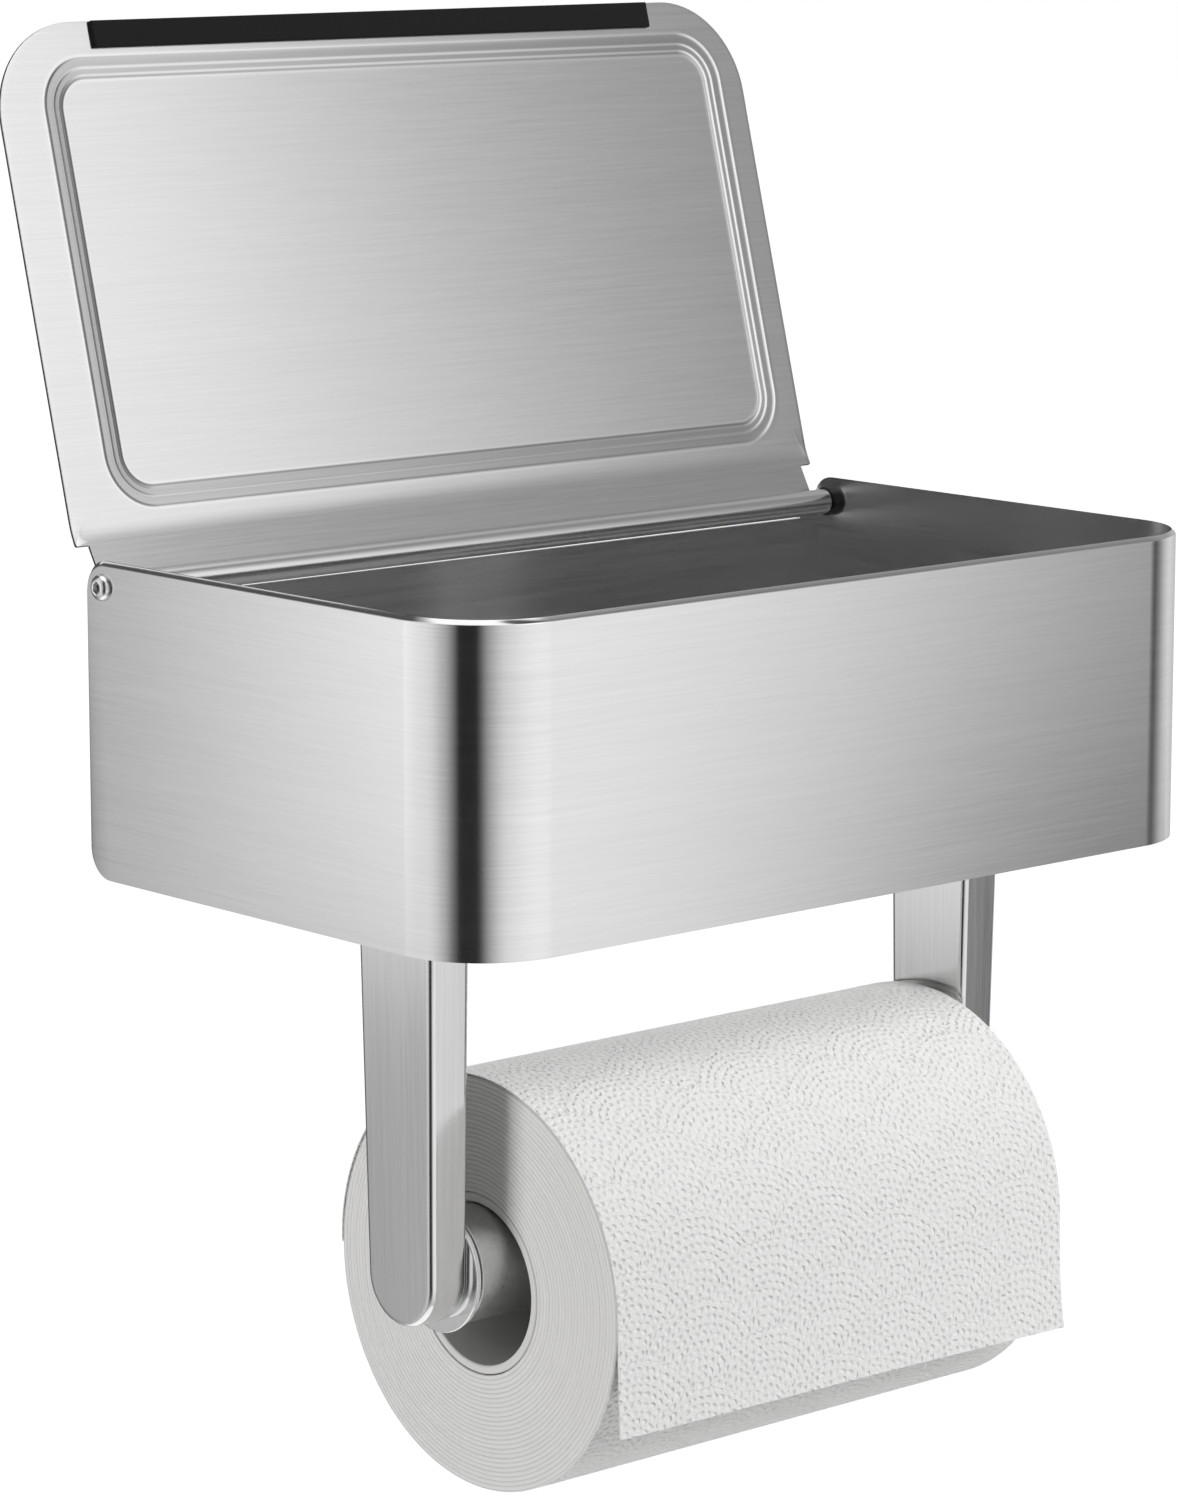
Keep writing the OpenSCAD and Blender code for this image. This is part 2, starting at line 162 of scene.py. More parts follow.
# brushed metal, with its scratches along one direction
def brushedMetal(name, look):
    material, tree, shader = newMaterial(name)
    fine = noiseAt(tree, look["fine"], 2.0, 0.6)
    broad = noiseAt(tree, look["broad"], 3.0, 0.5, (0.3, 0.7, 0.1))
    haze = noiseAt(tree, look["haze"], 2.0, 0.5, (2.1, 0.4, 1.3))
    both = calc(tree, "ADD", calc(tree, "MULTIPLY", fine, brushing["fine"]),
                calc(tree, "MULTIPLY", broad, brushing["broad"]))
    every = calc(tree, "ADD", both, calc(tree, "MULTIPLY", haze, brushing["haze"]))
    low, high = look["tone"] * (1 - look["contrast"]), look["tone"] * (1 + look["contrast"])
    colour = ramp(tree, every, list(zip(noiseRange, (grey(low), grey(high)))))
    if "bandShadePaint" in look:  # the pressed bands get painted shade, with painted highlight on their lips
        inset = put(tree, "ShaderNodeAttribute", {"attribute_name": "inset"}).outputs["Fac"]
        share = calc(tree, "DIVIDE", calc(tree, "SUBTRACT", inset, bandFrom), bandSpan, clamp=True)
        marks = [((place - bandFrom) / bandSpan, grey(level)) for place, level in look["bandShadePaint"]]
        colour = tint(tree, colour, ramp(tree, share, marks))
    tree.links.new(colour, shader.inputs["Base Color"])
    rough = [look["rough"] * (1 + way * brushing["roughSpread"]) for way in (-1, 1)]
    tree.links.new(spread(tree, every, noiseRange, rough), shader.inputs["Roughness"])
    bump = put(tree, "ShaderNodeBump", None, Strength=look["bump"], Distance=brushing["scratch"], Height=both)
    tree.links.new(bump.outputs[0], shader.inputs["Normal"])
    shader.inputs["Metallic"].default_value = 1.0
    shader.inputs["Anisotropic"].default_value = look["aniso"]
    if look["lay"] == "uv":
        across = put(tree, "ShaderNodeTangent", {"direction_type": "UV_MAP", "uv_map": "brushing"})
    else:
        across = put(tree, "ShaderNodeTangent", {"direction_type": "RADIAL", "axis": look["lay"]})
    tree.links.new(across.outputs[0], shader.inputs["Tangent"])
    return material


# smooth metal, plastic and rubber, with faint wear in tone and gloss
plainWear = dict(toneRange=(0.35, 0.65), roughSpread=0.2, deep=0.00005)


def plainFinish(name, look):
    material, tree, shader = newMaterial(name)
    mottle = noiseAt(tree, (look["grain"],) * 3, 4.0, 0.55)
    low = tuple(c * (1 - look["contrast"]) for c in look["colour"])
    high = tuple(min(1, c * (1 + look["contrast"])) for c in look["colour"])
    tones = ramp(tree, mottle, list(zip(plainWear["toneRange"], (low, high))))
    tree.links.new(tones, shader.inputs["Base Color"])
    rough = [look["rough"] * (1 + way * plainWear["roughSpread"]) for way in (-1, 1)]
    tree.links.new(spread(tree, mottle, noiseRange, rough), shader.inputs["Roughness"])
    bump = put(tree, "ShaderNodeBump", None, Strength=look["bump"], Distance=plainWear["deep"], Height=mottle)
    tree.links.new(bump.outputs[0], shader.inputs["Normal"])
    shader.inputs["Metallic"].default_value = look["metal"]
    shader.inputs["Specular IOR Level"].default_value = look.get("gloss", 0.5)
    return material


steel = dict(tone=0.72, contrast=0.065, rough=0.2, aniso=0.85, bump=0.25, lay="uv")
walls = brushedMetal("brushedWalls", dict(steel, fine=(60, 60, 2800), broad=(24, 24, 1200), haze=(8, 8, 160)))
# painted shade in the emboss grooves and painted highlight on their lips, by distance in from the emboss
# outline
lidBandShadePaint = [
    (-0.75, 0.91), (-0.45, 1.0), (0.05, 1.0), (0.3, 0.68), (2.1, 0.62), (2.4, 0.9), (2.75, 0.9), (3.0, 0.64),
    (3.8, 0.64), (4.05, 0.9), (4.35, 0.9), (4.55, 0.56), (4.9, 0.56), (5.15, 1.0), (5.5, 1.0), (5.8, 0.91)]
lidSkin = brushedMetal("brushedLid", dict(
    steel, tone=0.79, fine=(60, 2800, 2800), broad=(24, 1200, 1200), haze=(8, 160, 160), bandShadePaint=lidBandShadePaint))
armSkin = brushedMetal("brushedArm", dict(
    steel, tone=0.66, contrast=0.09, rough=0.17, aniso=0.6,
    fine=(2800, 2800, 40), broad=(900, 900, 12), haze=(160, 160, 5)))
traySkin = brushedMetal("brushedTray", dict(
    steel, tone=0.74, lay="X", fine=(60, 2800, 2800), broad=(26, 850, 850), haze=(7, 130, 130)))
tubeSkin = brushedMetal("hingeTubeSteel", dict(
    steel, tone=0.7, contrast=0.05, aniso=0.3, bump=0.1, lay="X",
    fine=(10, 1800, 1800), broad=(3, 300, 300), haze=(3, 40, 40)))
rimSkin = brushedMetal("brushedRim", dict(
    steel, tone=0.58, contrast=0.04, rough=0.13, aniso=0.0, bump=0.1,
    fine=(60, 60, 900), broad=(24, 24, 400), haze=(8, 8, 160)))
# cut edges painted near black and matt: painted shade standing in for the dark line along the rims
cutEdgePaintedShade = plainFinish("cutEdgeShadePaint", dict(
    colour=grey(0.065), contrast=0.2, rough=0.6, grain=1200, bump=0.2, metal=0.0, gloss=0.0))
satin = plainFinish("satinTube", dict(
    colour=grey(0.55), contrast=0.05, rough=0.34, grain=900, bump=0.1, metal=1.0))
chrome = plainFinish("polishedChrome", dict(
    colour=grey(0.78), contrast=0.03, rough=0.09, grain=500, bump=0.02, metal=1.0))
screwSteel = plainFinish("screwSteel", dict(
    colour=grey(0.72), contrast=0.03, rough=0.2, grain=700, bump=0.05, metal=1.0))
zinc = plainFinish("zincSteel", dict(
    colour=grey(0.6, 0.02), contrast=0.06, rough=0.3, grain=900, bump=0.1, metal=1.0))
springWire = plainFinish("springWire", dict(
    colour=grey(0.42), contrast=0.08, rough=0.28, grain=1500, bump=0.1, metal=1.0))
nylon = plainFinish("blackNylon", dict(
    colour=grey(0.012), contrast=0.1, rough=0.4, grain=2500, bump=0.2, metal=0.0))
rubber = plainFinish("blackRubber", dict(
    colour=grey(0.008), contrast=0.15, rough=0.7, grain=3500, bump=0.5, metal=0.0, gloss=0.2))
tipPlastic = plainFinish("tipPlastic", dict(
    colour=grey(0.7), contrast=0.03, rough=0.42, grain=1800, bump=0.15, metal=0.0))
print("metal, plastic and rubber finishes made")


# tissue: short pressed strokes that follow nested arches, with soft fibres between; lengths in mm
tissueLook = dict(
    colour=(0.88, 0.88, 0.872), shade=0.96, rough=0.92, gloss=0.15, sheen=0.15, sheenRough=0.6,
    arch=19.0, ring=1.8, stroke=2.0, wide=0.36, long=0.42, soft=(0.15, 1.1), weakest=0.5, depth=0.37,
    wobble=1.9, wobbleScale=0.3, fibres=0.8, fibreScale=1.9)


def tissueFinish(name):
    look = tissueLook
    material, tree, shader = newMaterial(name)
    flat = put(tree, "ShaderNodeUVMap", {"uv_map": "paper"}).outputs[0]
    place = put(tree, "ShaderNodeVectorMath", {"operation": "SCALE"}, i0=flat, Scale=1 / mm).outputs[0]
    wobble = put(tree, "ShaderNodeTexNoise", None, Vector=place, Scale=look["wobbleScale"], Detail=3.0)
    shift = put(tree, "ShaderNodeVectorMath", {"operation": "SCALE"}, i0=wobble.outputs["Color"],
                Scale=look["wobble"]).outputs[0]
    place = put(tree, "ShaderNodeVectorMath", {"operation": "ADD"}, i0=place, i1=shift).outputs[0]
    parts = put(tree, "ShaderNodeSeparateXYZ", None, Vector=place).outputs
    up = calc(tree, "MULTIPLY", parts[1], -1.0)
    radius = look["arch"]
    found = []
    for row in (0, 1):  # two sets of arches, each set a half step on from the other
        sideways = wrap(tree, parts[0], radius * (2 + row), radius * row)
        sideways = calc(tree, "SUBTRACT", sideways, radius * (1 + row))
        upward = wrap(tree, calc(tree, "ADD", up, radius * 0.5 * row), radius, 0.0)
        away = distance(tree, sideways, upward)
        found.append((away, sideways, upward, calc(tree, "LESS_THAN", away, radius)))
    first = calc(tree, "MAXIMUM", calc(tree, "GREATER_THAN", found[0][2], found[1][2]),
                 calc(tree, "SUBTRACT", 1.0, found[1][3]))
    first = calc(tree, "MULTIPLY", first, found[0][3])
    other = calc(tree, "SUBTRACT", 1.0, first)
    away, sideways, upward = [
        calc(tree, "ADD", calc(tree, "MULTIPLY", one, first), calc(tree, "MULTIPLY", two, other))
        for one, two in zip(found[0][:3], found[1][:3])]
    # along each arch the strokes follow one another, starting at a different place on every ring
    steps = calc(tree, "DIVIDE", away, look["ring"])
    ring = calc(tree, "FLOOR", steps)
    reach = calc(tree, "MULTIPLY", calc(tree, "ADD", ring, 0.5), look["ring"] / look["stroke"])
    start = put(tree, "ShaderNodeTexWhiteNoise", {"noise_dimensions": "1D"}, W=calc(tree, "ADD", ring, first))
    sweep = calc(tree, "MULTIPLY", calc(tree, "ARCTAN2", sideways, upward), reach)
    along = calc(tree, "ADD", sweep, start.outputs[0])
    across = calc(tree, "DIVIDE", calc(tree, "SUBTRACT", calc(tree, "FRACT", steps), 0.5), look["wide"])
    lengthways = calc(tree, "DIVIDE", calc(tree, "SUBTRACT", calc(tree, "FRACT", along), 0.5), look["long"])
    far = distance(tree, across, lengthways)
    mark = put(tree, "ShaderNodeCombineXYZ", None, X=ring, Y=calc(tree, "FLOOR", along), Z=first).outputs[0]
    strength = put(tree, "ShaderNodeTexWhiteNoise", {"noise_dimensions": "3D"}, Vector=mark).outputs[0]
    stroke = spread(tree, far, look["soft"], (1.0, 0.0), {"interpolation_type": "SMOOTHSTEP"})
    force = calc(tree, "ADD", calc(tree, "MULTIPLY", strength, 1 - look["weakest"]), look["weakest"])
    pressed = calc(tree, "SUBTRACT", 1.0, calc(tree, "MULTIPLY", stroke, force))
    fibres = put(tree, "ShaderNodeTexNoise", None, Vector=place, Scale=look["fibreScale"], Detail=5.0,
                 Roughness=0.6).outputs[0]
    height = calc(tree, "ADD", pressed, calc(tree, "MULTIPLY", fibres, look["fibres"]))
    bump = put(tree, "ShaderNodeBump", None, Strength=1.0, Distance=look["depth"] * mm, Height=height)
    tree.links.new(bump.outputs[0], shader.inputs["Normal"])
    # the pressed strokes are painted a little darker: painted shade in their hollows
    pale = look["colour"]
    tones = ramp(tree, pressed, [(0.0, tuple(c * look["shade"] for c in pale)), (0.8, pale)])
    tree.links.new(tones, shader.inputs["Base Color"])
    shader.inputs["Roughness"].default_value = look["rough"]
    shader.inputs["Specular IOR Level"].default_value = look["gloss"]
    shader.inputs["Sheen Weight"].default_value = look["sheen"]
    shader.inputs["Sheen Roughness"].default_value = look["sheenRough"]
    return material


# cut edge of the wound layers: rings about the roll's own axis, with torn fibres
layerLook = dict(wide=700.0, thin=4200.0, fibre=2500.0, fibres=0.3, darker=0.94, strength=0.35, deep=0.0001,
                 rough=0.95, gloss=0.1)


def layeredFinish(name, colour, grooves=None):
    look = layerLook
    material, tree, shader = newMaterial(name)
    where = put(tree, "ShaderNodeTexCoord").outputs["Object"]
    parts = put(tree, "ShaderNodeSeparateXYZ", None, Vector=where).outputs
    away = distance(tree, parts[1], parts[2])
    wide = put(tree, "ShaderNodeTexNoise", {"noise_dimensions": "1D"},
               W=calc(tree, "MULTIPLY", away, look["wide"]), Scale=1.0, Detail=2.0, Roughness=0.6).outputs[0]
    thin = put(tree, "ShaderNodeTexNoise", {"noise_dimensions": "1D"},
               W=calc(tree, "MULTIPLY", away, look["thin"]), Scale=1.0, Detail=2.0).outputs[0]
    fibre = put(tree, "ShaderNodeTexNoise", None, Vector=where, Scale=look["fibre"], Detail=4.0).outputs[0]
    rings = calc(tree, "ADD", calc(tree, "MULTIPLY", wide, 0.5), calc(tree, "MULTIPLY", thin, 0.5))
    height = calc(tree, "ADD", rings, calc(tree, "MULTIPLY", fibre, look["fibres"]))
    bump = put(tree, "ShaderNodeBump", None, Strength=look["strength"], Distance=look["deep"], Height=height)
    tree.links.new(bump.outputs[0], shader.inputs["Normal"])
    shade = ramp(tree, rings, [(0.3, tuple(c * look["darker"] for c in colour)), (0.6, colour)])
    if grooves:  # the grooves between bands of layers hold a little shadow
        steps = calc(tree, "MULTIPLY", calc(tree, "SUBTRACT", away, grooves["start"] * mm),
                     math.pi / (grooves["step"] * mm))
        ridge = calc(tree, "ABSOLUTE", calc(tree, "SINE", steps))
        shade = tint(tree, shade, ramp(tree, ridge, [(0.0, grey(grooves["tone"])), (0.55, grey(1.0))]))
    tree.links.new(shade, shader.inputs["Base Color"])
    shader.inputs["Roughness"].default_value = look["rough"]
    shader.inputs["Specular IOR Level"].default_value = look["gloss"]
    return material


rollLow, rollHigh = boxMm("roll_core")
rollMid = (rollLow + rollHigh) / 2
tissue = tissueFinish("tissue")
layered = layeredFinish("layeredEdge", (0.88, 0.875, 0.86), dict(start=19.9, step=1.0, tone=0.74))
card = layeredFinish("coreCard", (0.8, 0.795, 0.78))
print("paper finishes made")


# mesh helpers, all in millimetres
def gridFaces(rows, count, closed=True):
    faces = []
    for row in range(rows - 1):
        for k in range(count if closed else count - 1):
            one, two = row * count + k, row * count + (k + 1) % count
            faces.append((one, two, two + count, one + count))
    return faces


def newPiece(name, points, faces, body, material, replaced=(), place=None):
    mesh = bpy.data.meshes.new(name)
    mesh.from_pydata([Vector(p) * mm for p in points], [], faces)
    shape = bmesh.new()
    shape.from_mesh(mesh)
    bmesh.ops.remove_doubles(shape, verts=shape.verts, dist=1e-7)
    bmesh.ops.recalc_face_normals(shape, faces=shape.faces)
    shape.to_mesh(mesh)
    shape.free()
    mesh.materials.append(material)
    piece = bpy.data.objects.new(name, mesh)
    bpy.context.scene.collection.objects.link(piece)
    if place is not None:
        piece.matrix_world = place
    mesh.polygons.foreach_set("use_smooth", [True] * len(mesh.polygons))
    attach(piece, body)
    if replaced:
        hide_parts(*replaced)
    return piece


def settle(piece):
    bpy.context.view_layer.update()
    done = piece.evaluated_get(bpy.context.evaluated_depsgraph_get())
    mesh = bpy.data.meshes.new_from_object(done)
    piece.modifiers.clear()
    piece.data = mesh
    mesh.name = piece.name
    return piece


def thicken(piece, depth, edge, steps=3, inward=True, angle=50):
    if depth:
        plate = piece.modifiers.new("thickness", "SOLIDIFY")
        plate.thickness = depth * mm
        plate.offset = -1 if inward else 1
        plate.use_even_offset = True
        plate.material_offset_rim = len(piece.data.materials) - 1  # a second finish is for the cut edges
    if edge:
        soft = piece.modifiers.new("edges", "BEVEL")
        soft.width = edge * mm
        soft.segments = steps
        soft.limit_method = "ANGLE"
        soft.angle_limit = math.radians(angle)
        soft.material = 0
    return settle(piece)


# bevels the edges that pick gives a weight to; the new faces take the finish in one material slot
def bevelSome(piece, pick, width, steps, slot):
    shape = bmesh.new()
    shape.from_mesh(piece.data)
    shape.normal_update()
    shares = [pick(edge) for edge in shape.edges]
    shape.free()
    made = piece.data.attributes
    weights = made.get("bevel_weight_edge") or made.new("bevel_weight_edge", "FLOAT", "EDGE")
    weights.data.foreach_set("value", shares)
    soft = piece.modifiers.new("edges", "BEVEL")
    soft.width = width * mm
    soft.segments = steps
    soft.limit_method = "WEIGHT"
    soft.material = slot
    return settle(piece)


def evenShading(piece, keep=None):
    piece.data.polygons.foreach_set("use_smooth", [True] * len(piece.data.polygons))
    if keep:
        piece.data.set_sharp_from_angle(angle=math.radians(keep))
    even = piece.modifiers.new("evenShading", "WEIGHTED_NORMAL")
    even.keep_sharp = True
    even.weight = 70
    return piece


# a map whose first direction runs across the scratches
def layBrushing(piece, along):
    mesh = piece.data
    layer = mesh.uv_layers.new(name="brushing")
    for face in mesh.polygons:
        normal = face.normal
        run = Vector((0, 0, 1)).cross(normal) if along == "round" else Vector(along)
        run = run - normal * run.dot(normal)
        if run.length < 0.05:
            run = normal.orthogonal()
        run.normalize()
        across = normal.cross(run)
        for loop in face.loop_indices:
            spot = mesh.vertices[mesh.loops[loop].vertex_index].co
            layer.data[loop].uv = (spot.dot(across), spot.dot(run))
    return piece


# rounds the corners of an outline; each point is (a, b) or (a, b, radius)
def rounded(outline, closed=True, steps=4):
    made = []
    count = len(outline)
    for i, point in enumerate(outline):
        here = Vector(point[:2])
        radius = point[2] if len(point) > 2 else 0
        if not radius or (not closed and i in (0, count - 1)):
            made.append(tuple(here))
            continue
        back = Vector(outline[i - 1][:2]) - here
        on = Vector(outline[(i + 1) % count][:2]) - here
        half = back.angle(on) / 2
        reach = min(radius / math.tan(half), back.length * 0.49, on.length * 0.49)
        radius = reach * math.tan(half)
        a, b = here + back.normalized() * reach, here + on.normalized() * reach
        middle = here + (back.normalized() + on.normalized()).normalized() * (radius / math.sin(half))
        start, end = a - middle, b - middle
        turn = start.angle_signed(end)
        for k in range(steps + 1):
            spin = Matrix.Rotation(-turn * k / steps, 2)
            made.append(tuple(middle + spin @ start))
    return made


# a turned shape about local X; each outline point is (x, radius) or (x, radius, "hex")
def turned(name, outline, body, material, place, closed=False, cuts=96, replaced=(), keep=None):
    points, rings, faces = [], [], []
    for item in outline:
        x, radius = item[0], item[1]
        if radius < 1e-6:
            rings.append([len(points)] * cuts)
            points.append((x, 0, 0))
            continue
        ring = []
        for k in range(cuts):
            angle = 2 * math.pi * k / cuts
            reach = radius
            if len(item) > 2:
                part = (angle + math.pi / 6) % (math.pi / 3) - math.pi / 6
                reach = radius * math.cos(math.pi / 6) / math.cos(part)
            ring.append(len(points))
            points.append((x, reach * math.cos(angle), reach * math.sin(angle)))
        rings.append(ring)
    pairs = list(zip(rings, rings[1:])) + ([(rings[-1], rings[0])] if closed else [])
    for one, two in pairs:
        for k in range(cuts):
            n = (k + 1) % cuts
            corners = [one[k], one[n], two[n], two[k]]
            unique = [c for j, c in enumerate(corners) if c not in corners[:j]]
            if len(unique) > 2:
                faces.append(unique)
    piece = newPiece(name, points, faces, body, material, replaced, place)
    return evenShading(piece, keep)


def at(x, y, z):
    return Matrix.Translation(Vector((x, y, z)) * mm)


# wall band of the box: front and both sides in one sheet
bandLow, bandHigh = boxMm("shell_band")
band = dict(corner=21, sheet=1.3, rearTop=5.5, rearLow=6.6, rearRun=7, cornerCuts=30, rearCuts=9, run=6,
            chamfer=1.0, glint=0.22)


# the rim's outer edge is chamfered, less and less of it round the rear corners
def rimShare(edge):
    spot = (edge.verts[0].co + edge.verts[1].co) / 2
    outward = spot - Vector((0, bandLow.y / 2, 0)) * mm
    if len(edge.link_faces) == 2 and spot.z > 0:
        for wall, top in (edge.link_faces, reversed(edge.link_faces)):
            level = abs(wall.normal.z) < 0.02 and wall.material_index == 0 and wall.normal.dot(outward) > 0
            if level and top.material_index == 1 and top.normal.z > 0.05:
                return min(1, top.normal.z)
    return 0.0


# the chamfer's lower edge is rounded a little
def glintShare(edge):
    if sorted(face.material_index for face in edge.link_faces) != [0, 2]:
        return 0.0
    return min(1, max(face.normal.z for face in edge.link_faces) / 0.6)


def makeBand():
    left, right = bandLow.x, bandHigh.x
    front, wall = bandLow.y, bandHigh.y
    low, top = bandLow.z, bandHigh.z
    columns = []
    for i in range(band["rearCuts"] + 1):
        a = math.radians(90 * i / band["rearCuts"])
        rise, fall = band["rearTop"], band["rearLow"]
        columns.append(((left, wall - rise * (1 - math.cos(a)), top - rise * (1 - math.sin(a))),
                        (left, wall - fall * (1 - math.cos(a)), low + fall * (1 - math.sin(a)))))
    bend = front + band["corner"]
    for i in range(1, band["run"]):
        y = -band["rearRun"] + (bend + band["rearRun"]) * i / band["run"]
        columns.append(((left, y, top), (left, y, low)))
    for i in range(band["cornerCuts"] + 1):
        a = math.radians(90 * i / band["cornerCuts"])
        x = left + band["corner"] * (1 - math.cos(a))
        y = bend - band["corner"] * math.sin(a)
        columns.append(((x, y, top), (x, y, low)))
    for i in range(1, band["run"] // 2 + 1):
        x = (left + band["corner"]) * (1 - 2 * i / band["run"])
        columns.append(((x, front, top), (x, front, low)))
    mirrored = [tuple((-x, y, z) for x, y, z in pair) for pair in reversed(columns)]
    columns = columns[:-1] + mirrored  # the last column stands in the middle, so it isn't mirrored
    points, faces = [], []
    for upper, lower in columns:
        points += [upper, lower]
    for i in range(len(columns) - 1):
        faces.append((2 * i, 2 * i + 1, 2 * i + 3, 2 * i + 2))
    piece = newPiece("wallBand", points, faces, "holder", walls, ["shell_band"])
    if piece.data.polygons[len(columns) // 2].normal.y > 0:  # outside has to face outward
        piece.data.flip_normals()
    piece.data.materials.append(cutEdgePaintedShade)
    thicken(piece, band["sheet"], 0)
    piece.data.materials.append(rimSkin)
    bevelSome(piece, rimShare, band["chamfer"], 1, 2)
    bevelSome(piece, glintShare, band["glint"], 3, 0)
    layBrushing(piece, "round")
    return evenShading(piece)


makeBand()
print("wall band made")

# lid, in its own frame: Y up the open lid, Z to the inside
rodLow, rodHigh = boxMm("hinge_rod")
hinge = (rodLow + rodHigh) / 2
lidSizes = dict(open=75, wide=108.4, reach=123.5, notch=9.85, face=-6.94, sheet=0.8, frontR=22.1, rearR=0.35,
                flange=104.9, edge=0.12, cornerCuts=18, bend=15, bendFrom=14.8, bendTo=10.9, foot=1.7, tube=3)
# depth of the emboss: distance in from its outline, height
emboss = dict(left=-96.5, right=101.3, rear=16.6, front=115.9, corner=12, tightest=0.5, depth=[
    (-0.7, 0), (-0.3, 0.02), (0.0, 0.01), (0.2, -0.05), (0.45, -0.11), (0.7, -0.13), (1.5, -0.145),
    (2.3, -0.16), (2.5, -0.18), (2.75, -0.25), (3.0, -0.28), (3.8, -0.3), (4.0, -0.32), (4.25, -0.38),
    (4.5, -0.41), (4.7, -0.43), (4.95, -0.48), (5.2, -0.5), (6.0, -0.5)])
lidPlace = at(0, hinge.y, hinge.z) @ Matrix.Rotation(math.radians(lidSizes["open"]), 4, "X")

# where the straight runs are cut: left side, front, right side, rear
leftShares = [0.012, 0.024, 0.036, 0.048, 0.06, 0.15, 0.4, 0.65, 0.85]
runShares = [leftShares, [0.15, 0.4, 0.65, 0.85], [1 - share for share in reversed(leftShares)],
             [0.0139, 0.1, 0.25, 0.5, 0.75, 0.9, 0.9861]]


# one closed ring of the lid, from its left rear corner; every ring is cut at the same shares
def lidRing(left, right, rear, front, rearR, frontR, height):
    cuts = lidSizes["cornerCuts"]
    ring = []
    corners = [(left + rearR, rear + rearR, rearR, 270), (left + frontR, front - frontR, frontR, 180),
               (right - frontR, front - frontR, frontR, 90), (right - rearR, rear + rearR, rearR, 0)]
    for number, (cx, cy, radius, start) in enumerate(corners):
        for k in range(cuts + 1):
            a = math.radians(start - 90 * k / cuts)
            ring.append((cx + radius * math.cos(a), cy + radius * math.sin(a), height))
        fromX, fromY, _ = ring[-1]
        nextX, nextY, nextR, nextStart = corners[(number + 1) % 4]
        a = math.radians(nextStart)
        runX, runY = nextX + nextR * math.cos(a) - fromX, nextY + nextR * math.sin(a) - fromY
        ring += [(fromX + runX * share, fromY + runY * share, height) for share in runShares[number]]
    return ring


# how far the sheet has lifted where it bends towards the tube
def bendLift(u):
    s = lidSizes
    start, end, slope = s["bendFrom"], s["bendTo"], math.tan(math.radians(s["bend"]))
    if u >= start:
        return 0.0
    if u >= end:
        return slope * (start - u) ** 2 / (2 * (start - end))
    return slope * ((start - end) / 2 + end - u)


# distance in from the emboss outline
def embossInset(x, y):
    e = emboss
    cx, cy = (e["left"] + e["right"]) / 2, (e["rear"] + e["front"]) / 2
    dx = abs(x - cx) - (e["right"] - e["left"]) / 2 + e["corner"]
    dy = abs(y - cy) - (e["front"] - e["rear"]) / 2 + e["corner"]
    return e["corner"] - math.hypot(max(dx, 0), max(dy, 0)) - min(max(dx, dy), 0)


def makeLid():
    s, e = lidSizes, emboss
    outer = (-s["wide"], s["wide"], s["notch"], s["reach"], s["rearR"], s["frontR"])
    first = e["depth"][0][0]
    inner = (e["left"] + first, e["right"] - first, e["rear"] + first, e["front"] - first,
             e["corner"] - first, e["corner"] - first)
    rings = []
    for share in (0, 0.15, 0.3, 0.45, 0.6, 0.75, 0.9):
        rings.append(lidRing(*[a + (b - a) * share for a, b in zip(outer, inner)], s["face"]))
    for inset, height in e["depth"]:
        corner = max(e["tightest"], e["corner"] - inset)
        rings.append(lidRing(e["left"] + inset, e["right"] - inset, e["rear"] + inset, e["front"] - inset,
                             corner, corner, s["face"] + height))
    count = len(rings[0])
    points = [(x, u, v + bendLift(u)) for ring in rings for x, u, v in ring]
    faces = gridFaces(len(rings), count)
    faces.append([(len(rings) - 1) * count + k for k in range(count)])
    # the flange hangs from the rear run between the notches, bends, and turns in to the tube
    rear = list(range(count - len(runShares[3]), count))
    top = (s["notch"], s["face"] + bendLift(s["notch"]))
    foot = (s["foot"], s["face"] + bendLift(s["foot"]))
    toTube = (0.25, -s["tube"] + 0.15)
    profile = rounded([top, (*foot, 1.1), toTube], closed=False, steps=5)[1:]
    above = rear
    for u, v in profile:
        row = []
        for k in rear:
            x = points[k][0]
            x = math.copysign(s["flange"], x) if abs(x) > s["flange"] - 0.3 else x
            row.append(len(points))
            points.append((x, u, v))
        for k in range(len(rear) - 1):
            faces.append((above[k], above[k + 1], row[k + 1], row[k]))
        above = row
    piece = newPiece("lid", points, faces, "lid", lidSkin, ["lid"], lidPlace)
    if piece.data.polygons[0].normal.z < 0:
        piece.data.flip_normals()
    piece.data.materials.append(cutEdgePaintedShade)
    thicken(piece, s["sheet"], s["edge"], steps=2)
    layBrushing(piece, (1, 0, 0))
    inset = piece.data.attributes.new("inset", "FLOAT", "POINT")
    spots = [vertex.co / mm for vertex in piece.data.vertices]
    inset.data.foreach_set("value", [embossInset(spot.x, spot.y) for spot in spots])
    return evenShading(piece)


makeLid()

bumper = dict(half=81, wide=6, high=1.2, corner=0.35, crown=0.12)


